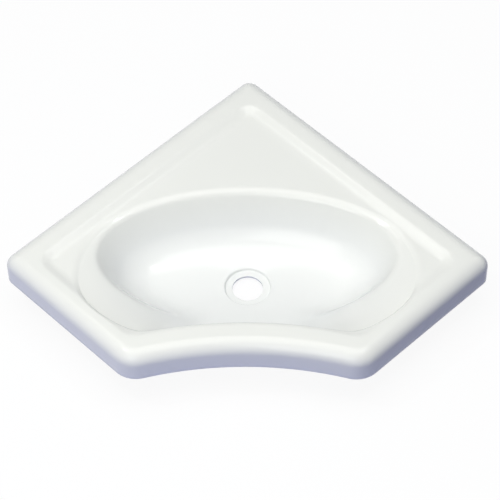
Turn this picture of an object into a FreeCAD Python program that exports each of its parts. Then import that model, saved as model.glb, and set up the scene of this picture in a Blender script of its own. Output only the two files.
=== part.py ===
import FreeCAD, Part
import math
import os
import Sketcher
from FreeCAD import Placement, Rotation, Vector

# Corner basin: a thin formed sheet on a hidden frame of battens, blocks and steel angles.
# Millimetres. The origin is on the waste axis, at the height of the skirt's bottom edge.
# +X is to the right, +Y points into the corner of the two walls, +Z is up.

doc = FreeCAD.newDocument("corner_basin")
sheet = doc.addObject("Spreadsheet::Sheet", "sizes")

drivingSizes = [
    # plan of the moulding, measured to the sharp corners
    ("wall_length", 430.0),
    ("return_length", 228.0),
    ("front_sagitta", 22.9),
    ("waste_setback", 293.0),
    ("plan_corner_radius", 15.5),
    ("front_corner_radius", 34.0),
    # edge, border and deck
    ("skirt_height", 40.0),
    ("sheet_thickness", 3.0),
    ("roll_radius", 14.0),
    ("wall_border", 33.0),
    ("return_border", 27.0),
    ("front_border", 35.0),
    ("border_slope_run", 12.0),
    ("border_drop", 5.5),
    ("border_bend_radius", 14.0),
    ("deck_corner_radius", 8.0),
    ("deck_front_radius", 14.0),
    # kidney-shaped shelf round the bowl
    ("mouth_half_width", 212.0),
    ("mouth_centre_setback", 324.0),
    ("mouth_back_half", 127.0),
    ("mouth_front_half", 114.0),
    ("mouth_front_setback", 41.0),
    ("mouth_step", 0.3),
    ("shelf_edge_run", 4.0),
    ("shelf_edge_drop", 1.8),
    ("shelf_radius", 330.0),
    # bowl
    ("bowl_half_width", 196.0),
    ("bowl_half_length", 103.0),
    ("bowl_centre_setback", 293.0),
    ("bowl_depth", 74.0),
    ("floor_fall", 3.0),
    ("side_edge_radius", 18.0),
    ("back_edge_radius", 13.0),
    ("side_floor_radius", 64.0),
    ("back_floor_radius", 52.0),
    ("front_floor_radius", 34.0),
    ("floor_margin", 3.0),
    ("recess_radius", 28.5),
    ("recess_depth", 4.0),
    ("waste_radius", 19.3),
    # hidden frame
    ("bond_gap", 0.3),
    ("batten_width", 18.0),
    ("batten_height", 25.0),
    ("side_block_length", 46.0),
    ("front_block_reach", 44.0),
    ("gusset_leg", 140.0),
    ("deck_board_thickness", 6.0),
    ("deck_board_inset", 48.0),
    ("deck_board_half_width", 145.0),
    ("deck_board_clearance", 10.0),
    ("ring_bore_radius", 23.5),
    ("ring_thickness", 4.0),
    # steel angles and screws
    ("angle_leg", 20.0),
    ("angle_length", 32.0),
    ("angle_thickness", 2.0),
    ("angle_bend_radius", 1.5),
    ("angle_hole_radius", 2.25),
    ("angle_hole_offset", 12.0),
    ("angle_hole_pitch", 16.0),
    ("screw_radius", 2.0),
    ("screw_length", 14.0),
    ("screw_head_radius", 3.8),
    ("screw_head_height", 2.4),
    ("screw_clearance", 0.1),
    ("gusset_screw_length", 29.0),
    ("gusset_screw_spread", 26.0),
    ("gusset_screw_setback", 12.0),
    ("gusset_screw_row", 15.0),
]

for row, (alias, value) in enumerate(drivingSizes, start=1):
    sheet.set("A%d" % row, alias)
    sheet.set("B%d" % row, str(value))
    sheet.setAlias("B%d" % row, alias)
doc.recompute()

size = {alias: float(sheet.get(alias)) for alias, value in drivingSizes}

subParts = []


def subPart(item, node):
    item.Label = node
    subParts.append(item)
    return item


def feature(node, shape):
    item = doc.addObject("Part::Feature", node)
    item.Shape = shape
    return item


# ---- places worked out from the driving sizes

near = 1e-4                  # how closely an edge has to lie at a place to be found there
spare = 1.0                  # how far a cutting shape runs past the face it cuts through
smallestRadius = 1.0         # what is left of a corner that an inset has used up
diagonal = math.sqrt(0.5)
sideX = size["wall_length"] * diagonal
sideY = size["waste_setback"] - size["wall_length"] * diagonal
frontX = sideX - size["return_length"] * diagonal
frontY = sideY - size["return_length"] * diagonal
frontRadius = (frontX ** 2 + size["front_sagitta"] ** 2) / (2 * size["front_sagitta"])
frontCentre = Vector(0, frontY + size["front_sagitta"] - frontRadius, 0)
deckLevel = size["skirt_height"] - size["border_drop"]
deckUnderside = deckLevel - size["sheet_thickness"]
mouthLevel = deckLevel - size["mouth_step"]
footDepth = size["bowl_depth"] - size["border_drop"] - size["mouth_step"] - size["floor_fall"]
floorLevel = size["skirt_height"] - size["bowl_depth"]
recessLevel = floorLevel - size["recess_depth"]
recessUnderside = recessLevel - size["sheet_thickness"]
mouthCentreY = size["waste_setback"] - size["mouth_centre_setback"]
bowlCentreY = size["waste_setback"] - size["bowl_centre_setback"]

wallInward = Vector(-diagonal, -diagonal, 0)      # from the right wall into the basin
returnInward = Vector(-diagonal, diagonal, 0)     # from the right return into the basin
alongReturn = Vector(-diagonal, -diagonal, 0)     # from the side corner towards the front


def mirrored(point):
    return Vector(-point.x, point.y, point.z)


def cornerArc(centre, radius, first, last):
    middle = (first - centre) + (last - centre)
    middle.normalize()
    return Part.Arc(first, centre + middle * radius, last).toShape()


# ---- plan outline of the moulding, drawn in from the outer faces by three insets

def planOutline(wallInset, returnInset, frontInset, radius, frontRound, level):
    rearCentre = Vector(0, size["waste_setback"] - (wallInset + radius) / diagonal, 0)
    rearRight = rearCentre - wallInward * radius
    sideCorner = Vector(sideX, sideY, 0)
    sideCentre = sideCorner + wallInward * (wallInset + radius) + returnInward * (returnInset + radius)
    sideOnWall = sideCentre - wallInward * radius
    sideOnReturn = sideCentre - returnInward * radius
    arcRadius = frontRadius + frontInset
    start = sideCorner + returnInward * (returnInset + frontRound)
    reach = alongReturn.dot(start - frontCentre)
    gap = (start - frontCentre).dot(start - frontCentre) - (arcRadius + frontRound) ** 2
    roundCentre = start + alongReturn * (-reach - math.sqrt(reach ** 2 - gap))
    frontOnReturn = roundCentre - returnInward * frontRound
    frontOnArc = frontCentre + (roundCentre - frontCentre) * (arcRadius / (arcRadius + frontRound))
    frontMiddle = frontCentre + Vector(0, arcRadius, 0)
    right = [
        Part.LineSegment(rearRight, sideOnWall).toShape(),
        cornerArc(sideCentre, radius, sideOnWall, sideOnReturn),
        Part.LineSegment(sideOnReturn, frontOnReturn).toShape(),
        cornerArc(roundCentre, frontRound, frontOnReturn, frontOnArc),
    ]
    left = [
        cornerArc(mirrored(roundCentre), frontRound, mirrored(frontOnArc), mirrored(frontOnReturn)),
        Part.LineSegment(mirrored(frontOnReturn), mirrored(sideOnReturn)).toShape(),
        cornerArc(mirrored(sideCentre), radius, mirrored(sideOnReturn), mirrored(sideOnWall)),
        Part.LineSegment(mirrored(sideOnWall), mirrored(rearRight)).toShape(),
    ]
    rear = cornerArc(rearCentre, radius, mirrored(rearRight), rearRight)
    front = Part.Arc(frontOnArc, frontMiddle, mirrored(frontOnArc)).toShape()
    wire = Part.Wire([rear] + right + [front] + left)
    wire.translate(Vector(0, 0, level))
    return wire


# The outer outline drawn in by one inset all round.
def insetOutline(inset, level):
    return planOutline(inset, inset, inset, max(size["plan_corner_radius"] - inset, smallestRadius),
                       max(size["front_corner_radius"] - inset, smallestRadius), level)


def prism(wire, height):
    return Part.Face(wire).extrude(Vector(0, 0, height))


def edgesAt(shape, level):
    found = []
    for edge in shape.Edges:
        box = edge.BoundBox
        if abs(box.ZMin - level) < near and abs(box.ZMax - level) < near:
            found.append(edge)
    return found


# The moulding without its bowl: a block with a rolled top edge, sunk inside the border.
# The same block, drawn in and lowered by the sheet's thickness, is the hollow beneath it.
def mouldingBlock(thickness):
    top = size["skirt_height"] - thickness
    block = prism(insetOutline(thickness, 0), top)
    block = block.makeFillet(size["roll_radius"] - thickness, edgesAt(block, top))
    slope = size["border_slope_run"]
    flare = slope * spare / size["border_drop"]
    upper = planOutline(size["wall_border"] - flare, size["return_border"] - flare,
                        size["front_border"] - flare,
                        size["deck_corner_radius"] + slope + flare,
                        size["deck_front_radius"] + slope + flare, top + spare)
    lower = planOutline(size["wall_border"] + slope, size["return_border"] + slope,
                        size["front_border"] + slope,
                        size["deck_corner_radius"], size["deck_front_radius"],
                        top - size["border_drop"])
    pocket = Part.makeLoft([upper, lower], True, True)
    bend = size["border_bend_radius"] - thickness
    pocket = pocket.makeFillet(bend, edgesAt(pocket, top - size["border_drop"]))
    return block.cut(pocket)


# ---- bowl: level sections of an oval whose walls follow a profile on each side, joined with
# ---- a kidney-shaped shelf that falls away towards the middle, and cut off by an arc in front

floorAngle = math.radians(5)           # all angles are slopes below the horizontal
edgeAngle = math.radians(15)
sideWallAngle = math.radians(55)
backWallAngle = math.radians(62)
frontWallAngle = math.radians(74)
# for each side: radius and first slope of the edge, slope of the wall, radius of the foot
sideProfile = (size["side_edge_radius"], edgeAngle, sideWallAngle, size["side_floor_radius"])
backProfile = (size["back_edge_radius"], edgeAngle, backWallAngle, size["back_floor_radius"])
frontProfile = (0.0, frontWallAngle, frontWallAngle, size["front_floor_radius"])
# room on each side from the mouth's edge to the recess, for the wall and its foot
recessReach = size["recess_radius"] + size["floor_margin"]
wallRoom = {
    sideProfile: size["bowl_half_width"] - recessReach,
    backProfile: size["bowl_half_length"] + bowlCentreY - recessReach,
    frontProfile: -(frontCentre.y + frontRadius + size["mouth_front_setback"]) - recessReach,
}


# Depth of each stretch of a profile, moved outwards by the sheet's thickness if asked.
def stretches(profile, thickness):
    bendRadius, firstAngle, wallAngle, footRadius = profile
    radius = max(bendRadius - thickness, 0)
    startDepth = thickness * math.cos(firstAngle)
    bendDepth = radius * (math.cos(firstAngle) - math.cos(wallAngle))
    endDepth = footDepth + thickness * math.cos(floorAngle)
    flattening = math.cos(floorAngle) - math.cos(wallAngle)
    steepRun = ((footDepth - bendRadius * (math.cos(firstAngle) - math.cos(wallAngle)))
                / math.tan(wallAngle) + bendRadius * (math.sin(wallAngle) - math.sin(firstAngle)))
    footGrowth = math.sin(wallAngle) - math.sin(floorAngle) - flattening / math.tan(wallAngle)
    widest = max((wallRoom[profile] - steepRun) / footGrowth, smallestRadius)
    room = (endDepth - startDepth - bendDepth) / flattening
    floorRadius = min(min(footRadius, widest) + thickness, room)
    floorDepth = floorRadius * flattening
    wallDepth = endDepth - startDepth - bendDepth - floorDepth
    return radius, startDepth, bendDepth, wallDepth, floorRadius, endDepth


# How far a wall has moved in from the mouth's outline at a depth below the mouth.
def wallRun(profile, thickness, depth):
    bendRadius, firstAngle, wallAngle, footRadius = profile
    radius, startDepth, bendDepth, wallDepth, floorRadius, endDepth = stretches(profile, thickness)
    run = -thickness * math.sin(firstAngle)
    if depth < startDepth:
        return run - (startDepth - depth) / math.tan(firstAngle)
    if depth < startDepth + bendDepth:
        slope = math.acos(math.cos(firstAngle) - (depth - startDepth) / radius)
        return run + radius * (math.sin(slope) - math.sin(firstAngle))
    run += radius * (math.sin(wallAngle) - math.sin(firstAngle))
    if depth < startDepth + bendDepth + wallDepth:
        return run + (depth - startDepth - bendDepth) / math.tan(wallAngle)
    run += wallDepth / math.tan(wallAngle)
    slope = math.acos(min(math.cos(floorAngle) - (endDepth - depth) / floorRadius, 1))
    return run + floorRadius * (math.sin(wallAngle) - math.sin(slope))


shelfEdgeSlope = math.atan2(size["shelf_edge_drop"], size["shelf_edge_run"])
shelfSlope = math.radians(9)           # where the shelf starts
steepSlope = math.radians(34)          # where it is steepest, before it flattens to the floor
shelfBackShare = 0.7                   # how far it moves in at the back, against its sides
shelfFrontShare = 0.25                 # and at the front


# How far the shelf has moved in from its edge at a depth below the mouth: a short straight slope,
# an arc that steepens, and an arc that flattens again down to the floor.
def shelfInset(thickness, depth):
    turn = (shelfEdgeSlope + shelfSlope) / 2
    offset = thickness / math.cos((shelfEdgeSlope - shelfSlope) / 2)
    bendInset = size["shelf_edge_run"] - offset * math.sin(turn)
    bendDepth = size["shelf_edge_drop"] + offset * math.cos(turn)
    arcDepth = size["shelf_edge_drop"] + thickness * math.cos(shelfSlope)
    if depth < arcDepth:
        slope = shelfEdgeSlope if depth < bendDepth else shelfSlope
        return bendInset + (depth - bendDepth) / math.tan(slope)
    firstRadius = size["shelf_radius"] - thickness
    firstInset = size["shelf_edge_run"] - thickness * math.sin(shelfSlope)
    steepDepth = arcDepth + firstRadius * (math.cos(shelfSlope) - math.cos(steepSlope))
    if depth < steepDepth:
        slope = math.acos(math.cos(shelfSlope) - (depth - arcDepth) / firstRadius)
        return firstInset + firstRadius * (math.sin(slope) - math.sin(shelfSlope))
    endDepth = footDepth + thickness * math.cos(floorAngle)
    lastRadius = (endDepth - steepDepth) / (math.cos(floorAngle) - math.cos(steepSlope))
    slope = math.acos(min(math.cos(floorAngle) - (endDepth - depth) / lastRadius, 1))
    return (firstInset + firstRadius * (math.sin(steepSlope) - math.sin(shelfSlope))
            + lastRadius * (math.sin(steepSlope) - math.sin(slope)))


bowlFullness = 2.0        # exponent of the bowl's oval, 2 for a true ellipse
shelfFullness = 2.1       # and of the shelf's
spokeCount = 72
halvings = 40             # of the search for a curve's edge along one spoke
edgeSteps = 8             # strips over the edge's bend, the wall and the foot's bend
wallSteps = 5
footSteps = 8
edgeSoftness = 2.5        # rounding where the bowl and the shelf meet, at the mouth
deepSoftness = 11.0       # and at the foot of the walls
mouthSoftness = 5.0       # rounding where they meet the front arc, at the mouth
footSoftness = 16.0       # and at the foot of the walls


# Room left between a point and an oval, about level with its distance.
def ovalRoom(x, rise, halfWidth, halfLength, fullness, scale):
    ratio = ((abs(x) / halfWidth) ** fullness + (abs(rise) / halfLength) ** fullness) ** (1 / fullness)
    return (1 - ratio) * scale


def softMost(first, second, softness):
    spread = abs(first - second) / softness
    return max(first, second) + softness * math.log1p(math.exp(-spread))


# Outline of the hollow at one depth, moved out sideways by an extra margin if asked: the bowl's
# oval joined with the shelf's, and both cut off by an arc in front.
def bowlSection(thickness, depth, level, margin=0.0):
    bowlWidth = size["bowl_half_width"] - wallRun(sideProfile, thickness, depth) + margin
    bowlLength = size["bowl_half_length"] - wallRun(backProfile, thickness, depth) + margin
    inset = shelfInset(thickness, depth) - margin
    shelfWidth = size["mouth_half_width"] - inset
    shelfBack = size["mouth_back_half"] - inset * shelfBackShare
    shelfFront = size["mouth_front_half"] - inset * shelfFrontShare
    cutRadius = (frontRadius + size["mouth_front_setback"]
                 + wallRun(frontProfile, thickness, depth) - margin)
    share = min(max(depth / footDepth, 0), 1)
    joinSoftness = edgeSoftness + (deepSoftness - edgeSoftness) * share
    arcSoftness = mouthSoftness + (footSoftness - mouthSoftness) * share

    def roomAt(x, y):
        room = ovalRoom(x, y - bowlCentreY, bowlWidth, bowlLength, bowlFullness,
                        size["bowl_half_length"])
        rise = y - mouthCentreY
        half = shelfBack if rise > 0 else shelfFront
        shelfRoom = ovalRoom(x, rise, shelfWidth, half, shelfFullness, size["mouth_back_half"])
        room = softMost(room, shelfRoom, joinSoftness)
        arcRoom = math.hypot(x, y - frontCentre.y) - cutRadius
        return -softMost(-room, -arcRoom, arcSoftness)

    points = []
    for spoke in range(spokeCount):
        angle = 2 * math.pi * spoke / spokeCount
        inside = 0.0
        outside = 2 * size["mouth_half_width"]
        for halving in range(halvings):
            middle = (inside + outside) / 2
            if roomAt(middle * math.cos(angle), middle * math.sin(angle)) > 0:
                inside = middle
            else:
                outside = middle
        points.append(Vector(inside * math.cos(angle), inside * math.sin(angle), level))
    curve = Part.BSplineCurve()
    steps = [spoke / spokeCount for spoke in range(spokeCount + 1)]
    curve.interpolate(Points=points, PeriodicFlag=True, Parameters=steps)
    return Part.Wire([curve.toShape()])


# The hollow of the basin, or its outside if a thickness is given, from a first depth down.
def bowlBody(thickness, firstDepth):
    radius, startDepth, bendDepth, wallDepth, floorRadius, endDepth = stretches(sideProfile, thickness)
    edgeEnd = startDepth + bendDepth
    footStart = edgeEnd + wallDepth
    depths = [firstDepth + (edgeEnd - firstDepth) * step / edgeSteps for step in range(edgeSteps)]
    depths += [edgeEnd + (footStart - edgeEnd) * step / wallSteps for step in range(wallSteps)]
    for step in range(footSteps + 1):
        slope = sideWallAngle + (floorAngle - sideWallAngle) * step / footSteps
        depths.append(endDepth - floorRadius * (math.cos(floorAngle) - math.cos(slope)))
    walls = [bowlSection(thickness, depth, mouthLevel - depth) for depth in depths]
    body = Part.makeLoft(walls, True, True)
    footLevel = mouthLevel - depths[-1]
    rim = Part.Wire([Part.Circle(Vector(0, 0, footLevel - size["floor_fall"]), Vector(0, 0, 1),
                                 size["recess_radius"] + thickness).toShape()])
    floor = Part.makeLoft([walls[-1], rim], True, True)
    return body.fuse(floor)


def cylinder(radius, low, high):
    return Part.makeCylinder(radius, high - low, Vector(0, 0, low))


def basinShell():
    thickness = size["sheet_thickness"]
    solidTop = mouldingBlock(0.0)
    hollow = mouldingBlock(thickness)
    sheetDepth = thickness / 2
    collar = prism(bowlSection(thickness, sheetDepth, mouthLevel - sheetDepth), size["skirt_height"])
    outerBowl = bowlBody(thickness, sheetDepth).fuse(collar.common(solidTop))
    recessWall = cylinder(size["recess_radius"] + thickness, recessUnderside,
                          floorLevel + size["floor_fall"] / 2)
    mouth = prism(bowlSection(0.0, 0.0, mouthLevel), size["skirt_height"])
    innerBowl = bowlBody(0.0, 0.0).fuse(mouth)
    recess = cylinder(size["recess_radius"], recessLevel, mouthLevel)
    waste = cylinder(size["waste_radius"], recessUnderside - spare, mouthLevel)
    shell = solidTop.cut(hollow).fuse([outerBowl, recessWall])
    return shell.cut([innerBowl, recess, waste])


subPart(feature("basin_shell", basinShell()), "basin_shell")


# ---- hidden frame: where its pieces lie behind the skirt

battenInset = size["sheet_thickness"] + size["bond_gap"]
battenBack = battenInset + size["batten_width"]
rearCorner = Vector(0, size["waste_setback"], 0)
sideCorner = Vector(sideX, sideY, 0)
alongWall = Vector(diagonal, -diagonal, 0)        # from the rear corner along the right wall
wallBattenStart = battenInset + size["gusset_leg"] + size["bond_gap"]
wallBattenEnd = size["wall_length"] - battenInset - size["side_block_length"] - size["bond_gap"]
returnBattenStart = battenInset + size["side_block_length"] + size["bond_gap"]
returnBattenEnd = size["return_length"] - size["front_block_reach"] - size["bond_gap"]


# A frame of reference on the inner face of a batten: X along it, Y inwards, Z up.
def seat(point, inward):
    along = inward.cross(Vector(0, 0, 1))
    matrix = FreeCAD.Matrix(along.x, inward.x, 0, point.x,
                            along.y, inward.y, 0, point.y,
                            0, 0, 1, 0,
                            0, 0, 0, 1)
    return Placement(matrix)


wallMiddle = (wallBattenStart + wallBattenEnd) / 2
returnMiddle = (returnBattenStart + returnBattenEnd) / 2
rightWallPoint = rearCorner + alongWall * wallMiddle + wallInward * battenBack
rightReturnPoint = sideCorner + alongReturn * returnMiddle + returnInward * battenBack
frontPoint = frontCentre + Vector(0, frontRadius + battenBack, 0)
seats = {
    "left_wall": seat(mirrored(rightWallPoint), mirrored(wallInward)),
    "right_wall": seat(rightWallPoint, wallInward),
    "left_return": seat(mirrored(rightReturnPoint), mirrored(returnInward)),
    "right_return": seat(rightReturnPoint, returnInward),
    "front": seat(frontPoint, Vector(0, 1, 0)),
}


# The two screws of one angle, in its own frame: Y is inwards, so they point along -Y.
def angleScrewHoles():
    holes = []
    for side in (-1, 1):
        start = Vector(side * size["angle_hole_pitch"] / 2, 0, size["angle_hole_offset"])
        reach = size["screw_length"] - size["angle_thickness"] + size["screw_clearance"]
        holes.append(Part.makeCylinder(size["screw_radius"] + size["screw_clearance"], reach,
                                       start, Vector(0, -1, 0)))
    return holes


def placedAt(shape, place):
    moved = shape.copy()
    moved.Placement = place.multiply(moved.Placement)
    return moved


def drilled(blank, name):
    holes = [placedAt(hole, seats[name]) for hole in angleScrewHoles()]
    tool = feature(name + "_pilots", Part.makeCompound(holes))
    cut = doc.addObject("Part::Cut", name + "_drilled")
    cut.Base = blank
    cut.Tool = tool
    return cut


# ---- straight battens behind the walls and the returns

def straightBatten(name, lengthRule, origin, heading):
    box = doc.addObject("Part::Box", name + "_timber")
    box.setExpression("Length", lengthRule)
    box.setExpression("Width", "sizes.batten_width")
    box.setExpression("Height", "sizes.batten_height")
    box.Placement = Placement(origin, Rotation(Vector(0, 0, 1), heading))
    return subPart(drilled(box, name), name + "_batten")


wallRule = ("sizes.wall_length - 2 * sizes.sheet_thickness - 4 * sizes.bond_gap"
            " - sizes.gusset_leg - sizes.side_block_length")
returnRule = ("sizes.return_length - sizes.sheet_thickness - 3 * sizes.bond_gap"
              " - sizes.side_block_length - sizes.front_block_reach")
wallStart = rearCorner + alongWall * wallBattenStart + wallInward * battenBack
wallEnd = rearCorner + alongWall * wallBattenEnd + wallInward * battenBack
returnStart = sideCorner + alongReturn * returnBattenStart + returnInward * battenBack
returnEnd = sideCorner + alongReturn * returnBattenEnd + returnInward * battenBack
straightBatten("right_wall", wallRule, wallStart, -45)
straightBatten("left_wall", wallRule, mirrored(wallEnd), 45)
straightBatten("right_return", returnRule, returnStart, -135)
straightBatten("left_return", returnRule, mirrored(returnEnd), 135)


# ---- curved front batten and the two blocks at its ends, all cut from one ring

def frameRing():
    outer = prism(insetOutline(battenInset, 0), size["batten_height"])
    return outer.cut(prism(insetOutline(battenBack, 0), size["batten_height"]))


ring = frameRing()
farAway = size["wall_length"]
blockStart = frontX - size["front_block_reach"]
battenHalf = blockStart - size["bond_gap"]
middleZone = Part.makeBox(2 * battenHalf, farAway, size["batten_height"],
                          Vector(-battenHalf, -farAway, 0))
frontTimber = feature("front_timber", ring.common(middleZone))
subPart(drilled(frontTimber, "front"), "front_batten")

outerZone = Part.makeBox(farAway, farAway, size["batten_height"], Vector(blockStart, -farAway, 0))
returnZone = Part.makeBox(farAway, farAway, size["batten_height"])
zoneStart = sideCorner + alongReturn * (returnBattenEnd + size["bond_gap"]) + returnInward * farAway / 2
returnZone.Placement = Placement(zoneStart, Rotation(Vector(0, 0, 1), -135))
rightFrontBlock = subPart(feature("right_front_block", ring.common(outerZone).common(returnZone)),
                          "right_front_block")


def mirrorOf(source, node):
    item = doc.addObject("Part::Mirroring", node)
    item.Source = source
    item.Normal = Vector(1, 0, 0)
    return subPart(item, node)


mirrorOf(rightFrontBlock, "left_front_block")


# ---- solid blocks in the side corners and the gusset in the rear corner

def originPlane(body, role):
    for plane in body.Origin.OriginFeatures:
        if plane.Role == role:
            return plane
    return None


def sketchOn(body, role, name):
    sketch = body.newObject("Sketcher::SketchObject", name)
    sketch.AttachmentSupport = [(originPlane(body, role), "")]
    sketch.MapMode = "FlatFace"
    return sketch


def addPolygon(sketch, corners):
    count = len(corners)
    for index in range(count):
        sketch.addGeometry(Part.LineSegment(corners[index], corners[(index + 1) % count]), False)
    for index in range(count):
        sketch.addConstraint(Sketcher.Constraint("Coincident", index, 2, (index + 1) % count, 1))


def bindConstraint(sketch, constraint, rule):
    index = sketch.addConstraint(constraint)
    sketch.setExpression("Constraints[%d]" % index, rule)


def uprightEdgeAt(shape, x, y):
    for index, edge in enumerate(shape.Edges, start=1):
        box = edge.BoundBox
        if abs(box.Center.x - x) < near and abs(box.Center.y - y) < near:
            if box.XLength < near and box.YLength < near:
                return "Edge%d" % index
    return None


cornerRule = ("max(sizes.plan_corner_radius - sizes.sheet_thickness - sizes.bond_gap; %s)"
              % smallestRadius)


# A corner piece: one corner at its origin, equal legs along X and Y, square or three-sided.
def cornerBody(name, leg, legRule, square, heightRule, place):
    body = doc.addObject("PartDesign::Body", name)
    sketch = sketchOn(body, "XY_Plane", name + "_outline")
    corners = [Vector(0, 0, 0), Vector(leg, 0, 0), Vector(0, leg, 0)]
    if square:
        corners.insert(2, Vector(leg, leg, 0))
    last = len(corners) - 1
    addPolygon(sketch, corners)
    sketch.addConstraint(Sketcher.Constraint("Coincident", 0, 1, -1, 1))
    sketch.addConstraint(Sketcher.Constraint("Horizontal", 0))
    sketch.addConstraint(Sketcher.Constraint("Vertical", last))
    if square:
        sketch.addConstraint(Sketcher.Constraint("Vertical", 1))
        sketch.addConstraint(Sketcher.Constraint("Horizontal", 2))
    bindConstraint(sketch, Sketcher.Constraint("DistanceX", 0, 1, 0, 2, leg), legRule)
    bindConstraint(sketch, Sketcher.Constraint("DistanceY", last, 2, last, 1, leg), legRule)
    pad = body.newObject("PartDesign::Pad", name + "_thickness")
    pad.Profile = sketch
    pad.setExpression("Length", heightRule)
    doc.recompute()
    rounding = body.newObject("PartDesign::Fillet", name + "_rounding")
    rounding.Base = (pad, [uprightEdgeAt(pad.Shape, 0, 0)])
    rounding.setExpression("Radius", cornerRule)
    body.Tip = rounding
    body.Placement = place
    doc.recompute()
    return body


sideBlockCorner = sideCorner + (wallInward + returnInward) * battenInset
sideBlock = cornerBody("side_block", size["side_block_length"], "sizes.side_block_length", True,
                       "sizes.batten_height",
                       Placement(sideBlockCorner, Rotation(Vector(0, 0, 1), 135)))
subPart(sideBlock, "right_side_block")
mirrorOf(sideBlock, "left_side_block")

gussetRule = ("sizes.skirt_height - sizes.border_drop - sizes.sheet_thickness"
              " - 2 * sizes.bond_gap - sizes.deck_board_thickness")
gussetCorner = Vector(0, size["waste_setback"] - battenInset / diagonal, 0)
gussetBlank = cornerBody("gusset_blank", size["gusset_leg"], "sizes.gusset_leg", False, gussetRule,
                         Placement(gussetCorner, Rotation(Vector(0, 0, 1), -135)))

boardApex = size["waste_setback"] - size["deck_board_inset"] / diagonal
firstRow = boardApex - size["gusset_screw_setback"]
secondRow = firstRow - size["gusset_screw_row"]
gussetScrewPoints = [
    Vector(0, firstRow, 0),
    Vector(-size["gusset_screw_spread"] / 2, secondRow, 0),
    Vector(size["gusset_screw_spread"] / 2, secondRow, 0),
]


# A countersunk screw that points up, or the hole it sits in when it has a clearance.
def risingScrew(point, clearance):
    shank = Part.makeCylinder(size["screw_radius"] + clearance,
                              size["gusset_screw_length"] + clearance, point)
    head = Part.makeCone(size["screw_head_radius"] + clearance, size["screw_radius"] + clearance,
                         size["screw_head_height"], point)
    return shank.fuse(head)


def cutBy(blank, tools, name):
    tool = feature(name + "_holes", Part.makeCompound(tools))
    cut = doc.addObject("Part::Cut", name + "_cut")
    cut.Base = blank
    cut.Tool = tool
    return cut


gussetHoles = [risingScrew(point, size["screw_clearance"]) for point in gussetScrewPoints]
subPart(cutBy(gussetBlank, gussetHoles, "rear_gusset"), "rear_gusset")


# ---- plywood board under the deck: it follows the two walls and, in front, the bowl's mouth

def deckBoardBlank():
    half = size["deck_board_half_width"]
    lowY = boardApex - half
    base = deckUnderside - size["bond_gap"] - size["deck_board_thickness"]
    points = [Vector(0, boardApex, base), Vector(-half, lowY, base), Vector(-half, 0, base),
              Vector(half, 0, base), Vector(half, lowY, base)]
    board = prism(Part.makePolygon(points + points[:1]), size["deck_board_thickness"])
    startDepth = size["sheet_thickness"] / 2
    opening = prism(bowlSection(size["sheet_thickness"], startDepth, 0,
                                size["deck_board_clearance"]), size["skirt_height"])
    pieces = board.cut(opening).Solids
    return max(pieces, key=lambda solid: solid.CenterOfMass.y)


deckBoardTimber = feature("deck_board_timber", deckBoardBlank())
subPart(cutBy(deckBoardTimber, gussetHoles, "deck_board"), "deck_board")


# ---- backing ring under the recess

ringTop = recessUnderside - size["bond_gap"]
ringDisc = doc.addObject("Part::Cylinder", "ring_disc")
ringDisc.setExpression("Radius", "sizes.recess_radius + sizes.sheet_thickness")
ringDisc.setExpression("Height", "sizes.ring_thickness")
ringDisc.Placement = Placement(Vector(0, 0, ringTop - size["ring_thickness"]), Rotation())
ringBore = doc.addObject("Part::Cylinder", "ring_bore")
ringBore.setExpression("Radius", "sizes.ring_bore_radius")
ringBore.setExpression("Height", "sizes.ring_thickness")
ringBore.Placement = ringDisc.Placement
backingRing = doc.addObject("Part::Cut", "backing_ring_cut")
backingRing.Base = ringDisc
backingRing.Tool = ringBore
subPart(backingRing, "waste_backing_ring")


# ---- steel angles: bent plate with two holes in the upright leg and one in the foot

def addHole(sketch, x, y, xRule, yRule):
    radius = size["angle_hole_radius"]
    circle = sketch.addGeometry(Part.Circle(Vector(x, y, 0), Vector(0, 0, 1), radius), False)
    bindConstraint(sketch, Sketcher.Constraint("Radius", circle, radius), "sizes.angle_hole_radius")
    if xRule:
        first, second = (circle, -1) if x < 0 else (-1, circle)
        firstEnd, secondEnd = (3, 1) if x < 0 else (1, 3)
        bindConstraint(sketch, Sketcher.Constraint("DistanceX", first, firstEnd, second, secondEnd,
                                                   abs(x)), xRule)
    else:
        sketch.addConstraint(Sketcher.Constraint("PointOnObject", circle, 3, -2))
    bindConstraint(sketch, Sketcher.Constraint("DistanceY", -1, 1, circle, 3, y), yRule)


def cutThrough(body, sketch, name, upwards):
    pocket = body.newObject("PartDesign::Pocket", name)
    pocket.Profile = sketch
    pocket.Type = "Length"
    pocket.setExpression("Length", "sizes.angle_thickness")
    pocket.Reversed = upwards
    body.Tip = pocket
    doc.recompute()
    return pocket


def longEdgeAt(shape, y, z):
    for index, edge in enumerate(shape.Edges, start=1):
        box = edge.BoundBox
        if box.XLength > size["angle_length"] / 2 and box.YLength < near and box.ZLength < near:
            if abs(box.Center.y - y) < near and abs(box.Center.z - z) < near:
                return "Edge%d" % index
    return None


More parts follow.
